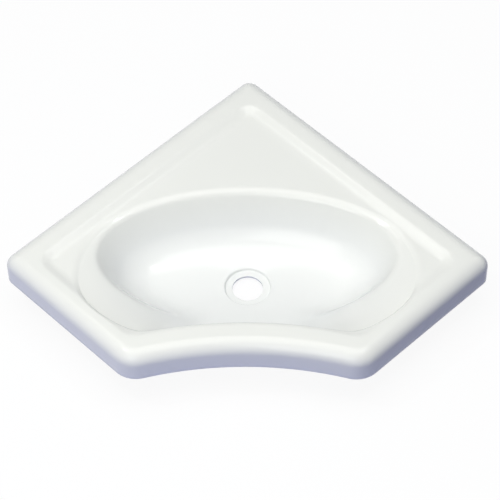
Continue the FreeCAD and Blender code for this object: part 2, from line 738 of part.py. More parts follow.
def steelAngle(name, place):
    leg = size["angle_leg"]
    thick = size["angle_thickness"]
    body = doc.addObject("PartDesign::Body", name)
    profile = sketchOn(body, "YZ_Plane", name + "_profile")
    addPolygon(profile, [Vector(0, 0, 0), Vector(leg, 0, 0), Vector(leg, thick, 0),
                         Vector(thick, thick, 0), Vector(thick, leg, 0), Vector(0, leg, 0)])
    profile.addConstraint(Sketcher.Constraint("Coincident", 0, 1, -1, 1))
    for line in (0, 2, 4):
        profile.addConstraint(Sketcher.Constraint("Horizontal", line))
    for line in (1, 3, 5):
        profile.addConstraint(Sketcher.Constraint("Vertical", line))
    bindConstraint(profile, Sketcher.Constraint("DistanceX", 0, 1, 0, 2, leg), "sizes.angle_leg")
    bindConstraint(profile, Sketcher.Constraint("DistanceY", 5, 2, 5, 1, leg), "sizes.angle_leg")
    bindConstraint(profile, Sketcher.Constraint("DistanceY", 1, 1, 1, 2, thick),
                   "sizes.angle_thickness")
    bindConstraint(profile, Sketcher.Constraint("DistanceX", 4, 2, 4, 1, thick),
                   "sizes.angle_thickness")
    plate = body.newObject("PartDesign::Pad", name + "_plate")
    plate.Profile = profile
    plate.SideType = "Symmetric"
    plate.setExpression("Length", "sizes.angle_length")
    doc.recompute()
    bend = body.newObject("PartDesign::Fillet", name + "_bend")
    bend.Base = (plate, [longEdgeAt(plate.Shape, thick, thick)])
    bend.setExpression("Radius", "sizes.angle_bend_radius")
    body.Tip = bend
    doc.recompute()
    solidVolume = bend.Shape.Volume
    upright = sketchOn(body, "XZ_Plane", name + "_upright_holes")
    for side in (-1, 1):
        addHole(upright, side * size["angle_hole_pitch"] / 2, size["angle_hole_offset"],
                "sizes.angle_hole_pitch / 2", "sizes.angle_hole_offset")
    cutThrough(body, upright, name + "_upright_cut", False)
    foot = sketchOn(body, "XY_Plane", name + "_foot_hole")
    addHole(foot, 0, size["angle_hole_offset"], None, "sizes.angle_hole_offset")
    pocket = cutThrough(body, foot, name + "_foot_cut", True)
    hole = math.pi * size["angle_hole_radius"] ** 2 * thick
    removed = (solidVolume - pocket.Shape.Volume) / hole
    print("%s holes cut: %.2f" % (name, removed))
    body.Placement = place
    return subPart(body, name)


for name, place in seats.items():
    steelAngle(name + "_angle", place)


# ---- screws, each kind one node

def angleScrews():
    screws = []
    thick = size["angle_thickness"]
    for place in seats.values():
        for side in (-1, 1):
            start = Vector(side * size["angle_hole_pitch"] / 2, thick, size["angle_hole_offset"])
            shank = Part.makeCylinder(size["screw_radius"], size["screw_length"], start,
                                      Vector(0, -1, 0))
            head = Part.makeCylinder(size["screw_head_radius"], size["screw_head_height"], start,
                                     Vector(0, 1, 0))
            crown = edgesOnPlaneY(head, thick + size["screw_head_height"])
            head = head.makeFillet(size["screw_head_height"] / 2, crown)
            screws.append(placedAt(shank.fuse(head), place))
    return Part.makeCompound(screws)


def edgesOnPlaneY(shape, y):
    found = []
    for edge in shape.Edges:
        box = edge.BoundBox
        if abs(box.YMin - y) < near and abs(box.YMax - y) < near:
            found.append(edge)
    return found


subPart(feature("angle_screws", angleScrews()), "angle_screws")
gussetScrews = Part.makeCompound([risingScrew(point, 0.0) for point in gussetScrewPoints])
subPart(feature("gusset_screws", gussetScrews), "gusset_screws")

doc.recompute()

problems = []
for item in doc.Objects:
    if "Invalid" in item.State or "Error" in item.State:
        problems.append(item.Name + " failed")
for item in subParts:
    if item.Shape.isNull() or not item.Shape.isValid():
        problems.append(item.Label + " has no valid shape")
if problems:
    raise RuntimeError("; ".join(problems))

os.makedirs("parts", exist_ok=True)
for item in subParts:
    item.Shape.exportStep("parts/%s.step" % item.Label)
    solids = len(item.Shape.Solids)
    print("%-22s solids %d volume %.0f" % (item.Label, solids, item.Shape.Volume))
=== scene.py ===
import bpy
import math
import numpy as np
from mathutils import Matrix, Vector


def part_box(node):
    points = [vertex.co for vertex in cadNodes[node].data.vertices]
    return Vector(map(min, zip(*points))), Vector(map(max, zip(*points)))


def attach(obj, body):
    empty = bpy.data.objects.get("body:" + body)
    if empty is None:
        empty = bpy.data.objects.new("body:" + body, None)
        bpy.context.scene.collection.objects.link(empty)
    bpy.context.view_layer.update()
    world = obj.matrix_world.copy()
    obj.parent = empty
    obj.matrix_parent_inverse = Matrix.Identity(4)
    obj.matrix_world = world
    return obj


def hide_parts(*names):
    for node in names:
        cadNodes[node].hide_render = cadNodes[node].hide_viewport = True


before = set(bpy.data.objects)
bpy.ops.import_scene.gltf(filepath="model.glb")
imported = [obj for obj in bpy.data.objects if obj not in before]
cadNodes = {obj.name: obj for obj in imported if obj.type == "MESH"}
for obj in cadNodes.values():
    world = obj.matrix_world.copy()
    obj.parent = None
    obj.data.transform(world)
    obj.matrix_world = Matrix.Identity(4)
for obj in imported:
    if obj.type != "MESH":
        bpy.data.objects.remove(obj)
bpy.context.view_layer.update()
print("frame loaded,", len(cadNodes), "nodes")

# Lengths in the dictionaries are millimetres, angles degrees and the scales of noise per metre.
# Meshes are made in metres.
mm = 0.001
diagonal = math.sqrt(0.5)
black = (0.0, 0.0, 0.0)
white = (1.0, 1.0, 1.0)


# the output of a node, with the operators that turn shader maths into Math nodes
class Socket:
    def __init__(self, nodes, link):
        self.nodes = nodes
        self.link = link

    def combine(self, operation, first, second):
        return self.nodes.node("ShaderNodeMath", {"operation": operation}, {0: first, 1: second})

    def __add__(self, other):
        return self.combine("ADD", self, other)

    def __radd__(self, other):
        return self.combine("ADD", other, self)

    def __sub__(self, other):
        return self.combine("SUBTRACT", self, other)

    def __rsub__(self, other):
        return self.combine("SUBTRACT", other, self)

    def __mul__(self, other):
        return self.combine("MULTIPLY", self, other)

    def __rmul__(self, other):
        return self.combine("MULTIPLY", other, self)

    def __truediv__(self, other):
        return self.combine("DIVIDE", self, other)

    def __pow__(self, other):
        return self.combine("POWER", self, other)


# a node tree that starts empty
class Nodes:
    def __init__(self, tree):
        self.tree = tree
        tree.nodes.clear()

    # adds a node: its settings first, then values or links for its sockets
    def node(self, kind, settings, inputs, output=0):
        item = self.tree.nodes.new(kind)
        for name, value in settings.items():
            if name == "stops":
                self.setStops(item.color_ramp, value)
            else:
                setattr(item, name, value)
        for name, value in inputs.items():
            self.feed(item.inputs[name], value)
        return Socket(self, item.outputs[output])

    def setStops(self, ramp, stops):
        while len(ramp.elements) < len(stops):
            ramp.elements.new(0.5)
        for element, (place, colour) in zip(ramp.elements, stops):
            element.position = place
            element.color = (*colour, 1.0)

    def feed(self, socket, value):
        if isinstance(value, list):                    # several links into one socket
            for part in value:
                self.feed(socket, part)
        elif isinstance(value, Socket):
            self.tree.links.new(value.link, socket)
        elif isinstance(value, tuple) and socket.type == "RGBA":
            socket.default_value = (*value, 1.0)
        else:
            socket.default_value = value

    def ramp(self, value, *stops):
        return self.node("ShaderNodeValToRGB", {"stops": stops}, {"Fac": value})

    def mixShaders(self, share, first, second):
        return self.node("ShaderNodeMixShader", {}, {0: share, 1: first, 2: second})

    # 1 for what the camera sees, straight or in a mirror or glass, and 0 for light that bounces
    def seenByCamera(self):
        path = [self.node("ShaderNodeLightPath", {}, {}, name)
                for name in ("Is Camera Ray", "Is Glossy Ray", "Is Transmission Ray")]
        straightOrMirror = path[0].combine("MAXIMUM", path[0], path[1])
        return straightOrMirror.combine("MAXIMUM", straightOrMirror, path[2])

    def finish(self, outputKind, surface):
        output = self.tree.nodes.new(outputKind)
        self.feed(output.inputs["Surface"], surface)


class Material(Nodes):
    def __init__(self, name):
        self.data = bpy.data.materials.new(name)
        self.data.use_nodes = True
        super().__init__(self.data.node_tree)
        self.place = self.node("ShaderNodeTexCoord", {}, {}, "Object")

    def axis(self, name, where=None):
        return self.node("ShaderNodeSeparateXYZ", {}, {0: where or self.place}, name)

    def noise(self, scale, detail, where=None):
        return self.node("ShaderNodeTexNoise", {}, {
            "Vector": where or self.place, "Scale": scale, "Detail": detail})

    # coordinates turned round the vertical, drawn out along their new X and sunk by a depth
    def grain(self, turn, stretch, sink=0.0):
        return self.node("ShaderNodeMapping", {"vector_type": "TEXTURE"}, {
            "Vector": self.place, "Location": (0.0, 0.0, -sink),
            "Rotation": (0.0, 0.0, math.radians(turn)), "Scale": (stretch, 1.0, 1.0)})

    def fraction(self, value):
        return self.node("ShaderNodeMath", {"operation": "FRACT"}, {0: value})

    def mix(self, share, first, second):
        return self.node("ShaderNodeMix", {"data_type": "RGBA"}, {0: share, 6: first, 7: second}, 2)

    def bump(self, height, distance, strength=1.0):
        return self.node("ShaderNodeBump", {}, {
            "Height": height, "Distance": distance, "Strength": strength})

    # the principled surface: an underscore in a name stands for a space
    def dress(self, **inputs):
        sockets = {name.replace("_", " "): value for name, value in inputs.items()}
        self.finish("ShaderNodeOutputMaterial", self.node("ShaderNodeBsdfPrincipled", {}, sockets))
        return self.data


mouldingLook = {
    "colour": (0.850, 0.862, 0.822), "shade": (0.832, 0.844, 0.804), "cloudScale": 7.0,
    # the colours below are a painted bluish reflection: cooler than the deck's, down in the bowl
    "paintedReflectionColour": (0.846, 0.862, 0.850), "paintedReflectionDim": (0.828, 0.844, 0.834),
    "paintedReflectionTop": 34.0, "paintedReflectionDepth": 40.0,                # painted reflection: between these heights the colour turns to the cooler one
    "roughness": 0.19, "backRoughness": 0.42, "smearScale": 24.0, "smearChange": 0.10,
    "dustScale": 1260.0, "dustChange": 0.05,
    "ior": 1.46, "shine": 0.26, "coat": 0.3, "coatRoughness": 0.04,
    "dimpleScale": 140.0, "dimpleShare": 0.12, "waveLength": 6.0, "relief": 0.06,
}


# glossy formed sheet: faint clouds in the colour, the soft dimples and waves of forming, and a painted
# bluish reflection, a cooler colour down in the bowl
def mouldingMaterial(name, roughness):
    look = mouldingLook
    material = Material(name)
    clouds = material.noise(look["cloudScale"], detail=3.0)
    dimples = material.noise(look["dimpleScale"], detail=2.0)
    waves = material.noise(look["dimpleScale"] / look["waveLength"], detail=1.0)
    smears = material.noise(look["smearScale"], detail=4.0) - 0.5
    dust = material.noise(look["dustScale"], detail=2.0) - 0.5
    # painted reflection: below the deck the colour turns bluer with depth, standing in for the cool
    # reflection in the bowl
    fall = (look["paintedReflectionTop"] * mm - material.axis("Z")) / (look["paintedReflectionDepth"] * mm)
    depth = material.ramp(fall, (0.0, black), (1.0, white))
    colour = material.mix(clouds, look["shade"], look["colour"])
    paintedReflectionColour = material.mix(clouds, look["paintedReflectionDim"], look["paintedReflectionColour"])
    height = dimples * look["dimpleShare"] + waves
    return material.dress(
        Base_Color=material.mix(depth, colour, paintedReflectionColour),
        Roughness=roughness + look["smearChange"] * smears + look["dustChange"] * dust,
        IOR=look["ior"], Specular_IOR_Level=look["shine"],
        Coat_Weight=look["coat"], Coat_Roughness=look["coatRoughness"],
        Normal=material.bump(height, look["relief"] * mm))


timberLook = {
    "light": (0.62, 0.43, 0.25), "dark": (0.42, 0.25, 0.12), "ringSpacing": 3.4, "heart": 70.0,
    "ringStretch": 9.0, "wanderScale": 18.0, "wander": 2.2, "lateStart": 0.62, "latePeak": 0.93,
    "fibreScale": 900.0, "fibreStretch": 30.0, "fibreShare": 0.35,
    "roughness": 0.62, "roughnessChange": 0.2, "ringRelief": 0.5, "relief": 0.15,
}


# softwood: year rings round a heart below the piece, drawn out along the grain
def timberMaterial(name, turn):
    look = timberLook
    material = Material(name)
    trunk = material.grain(turn, look["ringStretch"], look["heart"] * mm)
    across = material.axis("Y", trunk)
    rise = material.axis("Z", trunk)
    wander = material.noise(look["wanderScale"], detail=3.0, where=trunk)
    distance = (across * across + rise * rise) ** 0.5
    band = material.fraction(distance / (look["ringSpacing"] * mm) + wander * look["wander"])
    tone = material.ramp(band, (0.0, look["light"]), (look["lateStart"], look["light"]),
                         (look["latePeak"], look["dark"]), (1.0, look["light"]))
    fibres = material.noise(look["fibreScale"], detail=3.0,
                            where=material.grain(turn, look["fibreStretch"]))
    return material.dress(
        Base_Color=material.mix(fibres * look["fibreShare"], tone, look["dark"]),
        Roughness=look["roughness"] + look["roughnessChange"] * fibres,
        Normal=material.bump(fibres + band * look["ringRelief"], look["relief"] * mm))


plywoodLook = {
    "veneer": (0.66, 0.50, 0.32), "core": (0.44, 0.29, 0.16), "plies": 5, "plyShare": 0.7,
    "figureScale": 22.0, "figureStretch": 6.0, "figureStops": (0.35, 0.5, 0.56),
    "figureShare": 0.45, "fibreScale": 800.0, "fibreStretch": 25.0, "fibreShare": 0.3,
    "roughness": 0.6, "roughnessChange": 0.2, "relief": 0.1,
}


# plywood: plies across its thickness, with a figured face veneer
def plywoodMaterial(name, low, high):
    look = plywoodLook
    material = Material(name)
    twoPlies = (high - low) / look["plies"] * 2
    ply = material.fraction((material.axis("Z") - low) / twoPlies)
    layer = material.node("ShaderNodeMath", {"operation": "GREATER_THAN"}, {0: ply, 1: 0.5})
    figure = material.noise(look["figureScale"], detail=4.0,
                            where=material.grain(0.0, look["figureStretch"]))
    fibres = material.noise(look["fibreScale"], detail=3.0,
                            where=material.grain(0.0, look["fibreStretch"]))
    tones = (look["veneer"], look["core"], look["veneer"])
    face = material.ramp(figure, *zip(look["figureStops"], tones))
    veneer = material.mix(look["figureShare"], look["veneer"], face)
    colour = material.mix(layer * look["plyShare"], veneer, look["core"])
    return material.dress(
        Base_Color=material.mix(fibres * look["fibreShare"], colour, look["core"]),
        Roughness=look["roughness"] + look["roughnessChange"] * fibres,
        Normal=material.bump(fibres, look["relief"] * mm))


steelLook = {
    "bright": (0.62, 0.63, 0.64), "dull": (0.42, 0.43, 0.45), "spangleScale": 260.0,
    "lineScale": 2600.0, "lineStretch": 60.0, "roughness": 0.26, "cloudChange": 0.16,
    "lineChange": 0.10, "relief": 0.02,
}


# zinc-plated steel: dull clouds, and fine lines from rolling along the strip
def steelMaterial(name, turn):
    look = steelLook
    material = Material(name)
    clouds = material.noise(look["spangleScale"], detail=4.0)
    lines = material.noise(look["lineScale"], detail=2.0,
                           where=material.grain(turn, look["lineStretch"]))
    return material.dress(
        Base_Color=material.mix(clouds, look["dull"], look["bright"]), Metallic=1.0,
        Roughness=look["roughness"] + look["cloudChange"] * clouds + look["lineChange"] * lines,
        Normal=material.bump(lines, look["relief"] * mm))


screwLook = {
    "bright": (0.70, 0.66, 0.50), "dull": (0.50, 0.45, 0.30), "cloudScale": 900.0,
    "roughness": 0.22, "cloudChange": 0.18, "relief": 0.01,
}


# yellow-passivated screws
def screwMaterial(name):
    look = screwLook
    material = Material(name)
    clouds = material.noise(look["cloudScale"], detail=3.0)
    return material.dress(
        Base_Color=material.mix(clouds, look["dull"], look["bright"]), Metallic=1.0,
        Roughness=look["roughness"] + look["cloudChange"] * clouds,
        Normal=material.bump(clouds, look["relief"] * mm))


backingLook = {
    "colour": (0.34, 0.35, 0.36), "shade": (0.26, 0.27, 0.28), "fleckScale": 420.0,
    "turnedScale": 380.0, "turnedWander": 0.6, "roughness": 0.5, "fleckChange": 0.15,
    "relief": 0.02, "reliefStrength": 0.6,
}


# turned plastic ring: fine rings round the waste axis, as a lathe leaves them
def backingMaterial(name):
    look = backingLook
    material = Material(name)
    flecks = material.noise(look["fleckScale"], detail=4.0)
    turned = material.node(
        "ShaderNodeTexWave", {"wave_type": "RINGS", "rings_direction": "Z"},
        {"Vector": material.place, "Scale": look["turnedScale"],
         "Distortion": look["turnedWander"], "Detail": 1.0}, "Fac")
    return material.dress(
        Base_Color=material.mix(flecks, look["shade"], look["colour"]),
        Roughness=look["roughness"] + look["fleckChange"] * flecks,
        Normal=material.bump(turned, look["relief"] * mm, look["reliefStrength"]))


print("material functions ready")


# The basin is one closed sheet. It is made of level rings of points on the same spokes, which
# start at the waste axis, from the skirt's trimmed edge over the roll and down to the waste hole.
basin = {
    # plan, to the sharp corners
    "wallLength": 430.0, "returnLength": 228.0, "frontSagitta": 22.9, "wasteSetback": 293.0,
    "planRadius": 15.5, "frontRadius": 34.0, "leastRadius": 1.0,
    # skirt and roll
    "height": 40.0, "sheet": 3.0, "trimRound": 0.4, "skirtLevels": (6.0, 12.0, 18.0),
    "rollRun": 19.5, "rollRise": 16.5, "rollSteps": 16,
    # border and deck
    "wallBorder": 33.0, "returnBorder": 27.0, "frontBorder": 35.0, "borderDrop": 5.5,
    "deckRadius": 8.0, "deckFrontRadius": 14.0,
    "slopeRun": 12.0, "topBlend": 0.4, "footBlend": 0.8,       # blends as shares of the slope
    "borderSteps": 3, "slopeSteps": 14, "deckSteps": 5, "leastSpacing": 0.3,
    # shelf
    "mouthHalfWidth": 212.0, "mouthCentre": -31.0, "mouthBackHalf": 127.0,
    "mouthFrontHalf": 114.0, "mouthFrontSetback": 41.0, "mouthStep": 0.3,
    "shelfEdgeRun": 4.0, "shelfEdgeDrop": 1.8, "shelfRadius": 330.0, "shelfAngle": 9.0,
    "steepAngle": 34.0, "shelfBackShare": 0.7, "shelfFrontShare": 0.25, "shelfFullness": 2.1,
    # bowl, and its walls: edge radius, first angle, wall angle and foot radius
    "bowlHalfWidth": 196.0, "bowlHalfLength": 103.0, "bowlCentre": 0.0, "bowlFullness": 2.0,
    "depth": 74.0, "floorFall": 3.0, "floorMargin": 3.0, "floorAngle": 5.0,
    "sideWall": (18.0, 15.0, 55.0, 64.0), "backWall": (13.0, 15.0, 62.0, 52.0),
    "frontWall": (0.0, 74.0, 74.0, 34.0),
    # softness of the joins, at the mouth and at the foot
    "edgeSoftness": 2.5, "deepSoftness": 11.0, "mouthSoftness": 5.0, "footSoftness": 16.0,
    # lip of the mouth
    "lipDepth": 1.5, "lipReach": 5.0, "lipSteps": 7, "lipBlend": 1.2, "deckLipShift": 0.6,
    "borderLipCut": 0.25,
    # rings below the mouth: last depth and count, then first and last depths and counts
    "shelfDepths": (11.0, 31), "wallDepths": ((11.8, 30.0, 22), (31.4, 57.0, 16)),
    "footDepths": (58.6, 60.1, 61.4, 62.5, 63.5, 64.4), "easedRings": 3,
    "floorSteps": 6, "floorStart": 0.6,                        # the first step is a short one
    # recess and waste hole
    "recessRadius": 28.5, "recessDepth": 4.0, "recessRound": 2.2, "recessBend": 1.4,
    "recessMargin": 1.0, "recessSteps": 5, "wasteRadius": 19.3, "holeRound": 0.6,
    "holeMargin": 3.0, "holeSteps": 3,
    # mesh: where the spokes crowd (bearing, spread and extra density), and points of an outline
    "halfSpokes": 232, "crowding": ((-2.3, 3.0, 4.0), (-50.0, 6.0, 2.5), (90.0, 4.0, 5.0)),
    "arcCount": 200, "bendCount": 60, "returnCount": 200, "wallCount": 300, "apexCount": 40,
    "bearingCount": 4001, "halvings": 45, "backStep": 3,
}

sideX = basin["wallLength"] * diagonal
sideY = basin["wasteSetback"] - basin["wallLength"] * diagonal
frontX = sideX - basin["returnLength"] * diagonal
frontY = sideY - basin["returnLength"] * diagonal
sagitta = basin["frontSagitta"]
arcRadius = (frontX ** 2 + sagitta ** 2) / (2 * sagitta)
arcCentre = np.array([0.0, frontY + sagitta - arcRadius])
sideCorner = np.array([sideX, sideY])
deckLevel = basin["height"] - basin["borderDrop"]
mouthLevel = deckLevel - basin["mouthStep"]
footDepth = basin["depth"] - basin["borderDrop"] - basin["mouthStep"] - basin["floorFall"]
floorLevel = basin["height"] - basin["depth"]
wallInward = np.array([-diagonal, -diagonal])
returnInward = np.array([-diagonal, diagonal])
alongWall = -returnInward                    # on the right: from the rear corner to the side corner
alongReturn = wallInward                     # and from the side corner to the front


# spokes of the right half, closer together where the outline turns
def spokeAngles(count):
    fine = np.linspace(-90.0, 90.0, basin["bearingCount"])
    density = np.ones_like(fine)
    for place, spread, extra in basin["crowding"]:
        density += extra * np.exp(-((fine - place) / spread) ** 2)
    travelled = np.concatenate([[0.0], np.cumsum((density[1:] + density[:-1]) / 2)])
    return np.radians(np.interp(np.linspace(0.0, travelled[-1], count + 1), travelled, fine))


angles = spokeAngles(basin["halfSpokes"])
directionX = np.cos(angles)
directionY = np.sin(angles)
everySpoke = np.ones_like(angles)


def arcPoints(centre, radius, first, last, count):
    turn = np.radians(np.linspace(first, last, count))
    return np.stack([centre[0] + radius * np.cos(turn), centre[1] + radius * np.sin(turn)], 1)


def linePoints(first, last, count):
    share = np.linspace(0.0, 1.0, count)[:, None]
    return first + (last - first) * share


def bearing(vector):
    return math.degrees(math.atan2(vector[1], vector[0]))


# distance of a rounded plan outline from the waste axis, along every spoke
def outline(wallInset, returnInset, frontInset, radius, frontRound):
    rearCentre = np.array([0.0, basin["wasteSetback"] - (wallInset + radius) / diagonal])
    sideCentre = (sideCorner + wallInward * (wallInset + radius)
                  + returnInward * (returnInset + radius))
    # the front corner's circle touches the return and the arc
    start = sideCorner + returnInward * (returnInset + frontRound)
    reach = alongReturn @ (start - arcCentre)
    room = (start - arcCentre) @ (start - arcCentre) - (arcRadius + frontInset + frontRound) ** 2
    roundCentre = start + alongReturn * (-reach - math.sqrt(reach ** 2 - room))
    points = np.concatenate([
        arcPoints(arcCentre, arcRadius + frontInset, 90.0, bearing(roundCentre - arcCentre),
                  basin["arcCount"]),
        arcPoints(roundCentre, frontRound, bearing(arcCentre - roundCentre), -45.0,
                  basin["bendCount"]),
        linePoints(roundCentre - returnInward * frontRound, sideCentre - returnInward * radius,
                   basin["returnCount"]),
        arcPoints(sideCentre, radius, -45.0, 45.0, basin["bendCount"]),
        linePoints(sideCentre - wallInward * radius, rearCentre - wallInward * radius,
                   basin["wallCount"]),
        arcPoints(rearCentre, radius, 45.0, 90.0, basin["apexCount"])])
    turns = np.arctan2(points[:, 1], points[:, 0])
    order = np.argsort(turns, kind="stable")
    return np.interp(angles, turns[order], np.hypot(points[:, 0], points[:, 1])[order])


def insetOutline(inset):
    return outline(inset, inset, inset, max(basin["planRadius"] - inset, basin["leastRadius"]),
                   max(basin["frontRadius"] - inset, basin["leastRadius"]))


recessReach = basin["recessRadius"] + basin["floorMargin"]
wallRooms = {                                # from the mouth's edge to the recess
    "sideWall": basin["bowlHalfWidth"] - recessReach,
    "backWall": basin["bowlHalfLength"] + basin["bowlCentre"] - recessReach,
    "frontWall": -(arcCentre[1] + arcRadius + basin["mouthFrontSetback"]) - recessReach,
}


# how far a wall of the bowl has moved in at a depth below the mouth
def wallRun(side, depth):
    bend, edgeAngle, wallAngle, footRadius = basin[side]
    edge = math.radians(edgeAngle)
    wall = math.radians(wallAngle)
    floor = math.radians(basin["floorAngle"])
    bendDepth = bend * (math.cos(edge) - math.cos(wall))
    flattening = math.cos(floor) - math.cos(wall)
    steepRun = (footDepth - bendDepth) / math.tan(wall) + bend * (math.sin(wall) - math.sin(edge))
    widest = ((wallRooms[side] - steepRun)
              / (math.sin(wall) - math.sin(floor) - flattening / math.tan(wall)))
    foot = min(footRadius, widest, (footDepth - bendDepth) / flattening)
    wallDepth = footDepth - bendDepth - foot * flattening
    if depth <= 0:
        return depth / math.tan(edge)
    if depth < bendDepth:
        slope = math.acos(math.cos(edge) - depth / bend)
        return bend * (math.sin(slope) - math.sin(edge))
    run = bend * (math.sin(wall) - math.sin(edge))
    if depth < bendDepth + wallDepth:
        return run + (depth - bendDepth) / math.tan(wall)
    run += wallDepth / math.tan(wall)
    slope = math.acos(min(math.cos(floor) - (footDepth - depth) / foot, 1.0))
    return run + foot * (math.sin(wall) - math.sin(slope))


# room left inside an oval: its half length at the centre, and nothing on its edge
def ovalRoom(x, rise, halfWidth, halfLength, fullness, scale):
    ratio = (np.abs(x) / halfWidth) ** fullness + (np.abs(rise) / halfLength) ** fullness
    return (1 - ratio ** (1 / fullness)) * scale


# the larger of two values, with a soft change from one to the other
def softMost(first, second, softness):
    spread = np.abs(first - second) / softness
    return np.maximum(first, second) + softness * np.log1p(np.exp(-spread))


# how far the shelf has moved in from its edge: a straight slope, a steepening and a flattening arc
def shelfInset(depth):
    edgeRun = basin["shelfEdgeRun"]
    edgeDrop = basin["shelfEdgeDrop"]
    if depth < edgeDrop:
        return depth * edgeRun / edgeDrop
    first = math.radians(basin["shelfAngle"])
    steep = math.radians(basin["steepAngle"])
    floor = math.radians(basin["floorAngle"])
    radius = basin["shelfRadius"]
    steepDepth = edgeDrop + radius * (math.cos(first) - math.cos(steep))
    if depth < steepDepth:
        slope = math.acos(math.cos(first) - (depth - edgeDrop) / radius)
        return edgeRun + radius * (math.sin(slope) - math.sin(first))
    last = (footDepth - steepDepth) / (math.cos(floor) - math.cos(steep))
    slope = math.acos(min(math.cos(floor) - (footDepth - depth) / last, 1.0))
    return (edgeRun + radius * (math.sin(steep) - math.sin(first))
            + last * (math.sin(steep) - math.sin(slope)))


def between(first, last, share):
    return first + (last - first) * share


# distance of the hollow's edge from the waste axis along every spoke, at one depth: the bowl's
# oval joined with the shelf's, and both cut off by the arc in front
def bowlCurve(depth):
    bowlWidth = basin["bowlHalfWidth"] - wallRun("sideWall", depth)
    bowlLength = basin["bowlHalfLength"] - wallRun("backWall", depth)
    cutRadius = arcRadius + basin["mouthFrontSetback"] + wallRun("frontWall", depth)
    inset = shelfInset(depth)
    shelfBack = basin["mouthBackHalf"] - inset * basin["shelfBackShare"]
    shelfFront = basin["mouthFrontHalf"] - inset * basin["shelfFrontShare"]
    share = min(max(depth / footDepth, 0.0), 1.0)
    joinSoftness = between(basin["edgeSoftness"], basin["deepSoftness"], share)
    arcSoftness = between(basin["mouthSoftness"], basin["footSoftness"], share)
    inside = np.zeros_like(angles)
    outside = np.full_like(angles, 2 * basin["mouthHalfWidth"])
    for halving in range(basin["halvings"]):
        middle = (inside + outside) / 2
        x = middle * directionX
        y = middle * directionY
        bowlRoom = ovalRoom(x, y - basin["bowlCentre"], bowlWidth, bowlLength,
                            basin["bowlFullness"], basin["bowlHalfLength"])
        rise = y - basin["mouthCentre"]
        shelfRoom = ovalRoom(x, rise, basin["mouthHalfWidth"] - inset,
                             np.where(rise > 0, shelfBack, shelfFront),
                             basin["shelfFullness"], basin["mouthBackHalf"])
        arcRoom = np.hypot(x, y - arcCentre[1]) - cutRadius
        room = -softMost(-softMost(bowlRoom, shelfRoom, joinSoftness), -arcRoom, arcSoftness)
        inside = np.where(room > 0, middle, inside)
        outside = np.where(room > 0, outside, middle)
    return (inside + outside) / 2


# a ramp that is 0 up to a place and rises from there, softened over a width
def softRamp(value, place, width):
    start = np.clip(value - place + width / 2, 0.0, width)
    return start ** 2 / (2 * width) + np.maximum(value - place - width / 2, 0.0)


def quarterTurn(steps):
    return [math.radians(90.0 * step / steps) for step in range(steps + 1)]


rings = []                                   # (distance from the axis, height) along all spokes


def addRing(distance, height):
    rings.append((distance * everySpoke, height * everySpoke))


# skirt, from its trimmed edge, and roll
height = basin["height"]
rollRun = basin["rollRun"]
rollRise = basin["rollRise"]
faceOutline = insetOutline(0.0)
addRing(insetOutline(basin["trimRound"]), 0.0)
for lift in (basin["trimRound"], *basin["skirtLevels"], height - rollRise):
    addRing(faceOutline, lift)
for turn in quarterTurn(basin["rollSteps"])[1:]:
    addRing(insetOutline(rollRun * (1 - math.cos(turn))), height - rollRise * (1 - math.sin(turn)))
rollTop = rings[-1][0]

slopeRun = basin["slopeRun"]
topBlend = basin["topBlend"]
footBlend = basin["footBlend"]
upper = outline(basin["wallBorder"], basin["returnBorder"], basin["frontBorder"],
                basin["deckRadius"] + slopeRun, basin["deckFrontRadius"] + slopeRun)
lower = outline(basin["wallBorder"] + slopeRun, basin["returnBorder"] + slopeRun,
                basin["frontBorder"] + slopeRun, basin["deckRadius"], basin["deckFrontRadius"])


def borderHeight(distance):
    share = (upper - distance) / (upper - lower)
    fall = softRamp(share, 0.0, topBlend) - softRamp(share, 1.0, footBlend)
    return height - basin["borderDrop"] * fall


# rings across a band of the border or the deck
def addBand(outer, inner, steps):
    for step in range(1, steps + 1):
        distance = between(outer, inner, step / steps)
        addRing(distance, borderHeight(distance))


# the mouth's lip: where the border or deck meets the bowl's wall, rounded by a curve of three
# points, and narrower where it runs through the border
lipDepth = basin["lipDepth"]
spacing = basin["leastSpacing"]
below = bowlCurve(lipDepth)
mouthEdge = bowlCurve(0.0)
raised = np.clip((borderHeight(mouthEdge) - deckLevel) / basin["lipBlend"], 0.0, 1.0)
corner = mouthEdge + (1 - raised) * basin["deckLipShift"]
outerLip = corner + basin["lipReach"] * (1 - basin["borderLipCut"] * raised)
cornerHeight = borderHeight(corner)
outerLipHeight = borderHeight(outerLip)

# border, its slope and the deck, which give way to the lip where it comes near them
slopeStart = np.maximum(upper + (upper - lower) * topBlend / 2,
                        outerLip + (basin["slopeSteps"] + basin["deckSteps"]) * spacing)
slopeStart = np.minimum(slopeStart, rollTop - basin["borderSteps"] * spacing)
slopeStop = np.maximum(lower - (upper - lower) * footBlend / 2,
                       outerLip + basin["deckSteps"] * spacing)
addBand(rollTop, slopeStart, basin["borderSteps"])
addBand(slopeStart, slopeStop, basin["slopeSteps"])
addBand(slopeStop, outerLip, basin["deckSteps"])

for step in range(1, basin["lipSteps"] + 1):
    share = step / basin["lipSteps"]
    first = (1 - share) ** 2
    second = 2 * share * (1 - share)
    third = share ** 2
    addRing(first * outerLip + second * corner + third * below,
            first * outerLipHeight + second * cornerHeight + third * (mouthLevel - lipDepth))

# shelf and walls: rings at set depths, close together over the shelf and the bends
shelfEnd, shelfCount = basin["shelfDepths"]
depths = [*np.linspace(lipDepth, shelfEnd, shelfCount)[1:]]
for first, last, count in basin["wallDepths"]:
    depths.extend(np.linspace(first, last, count))
for depth in (*depths, *basin["footDepths"]):
    addRing(bowlCurve(float(depth)), mouthLevel - depth)
lastWallRing = len(rings) - 1

# floor, which falls to the recess
footCurve = bowlCurve(footDepth)
footLevel = mouthLevel - footDepth
recessEdge = basin["recessRadius"] + basin["recessRound"]


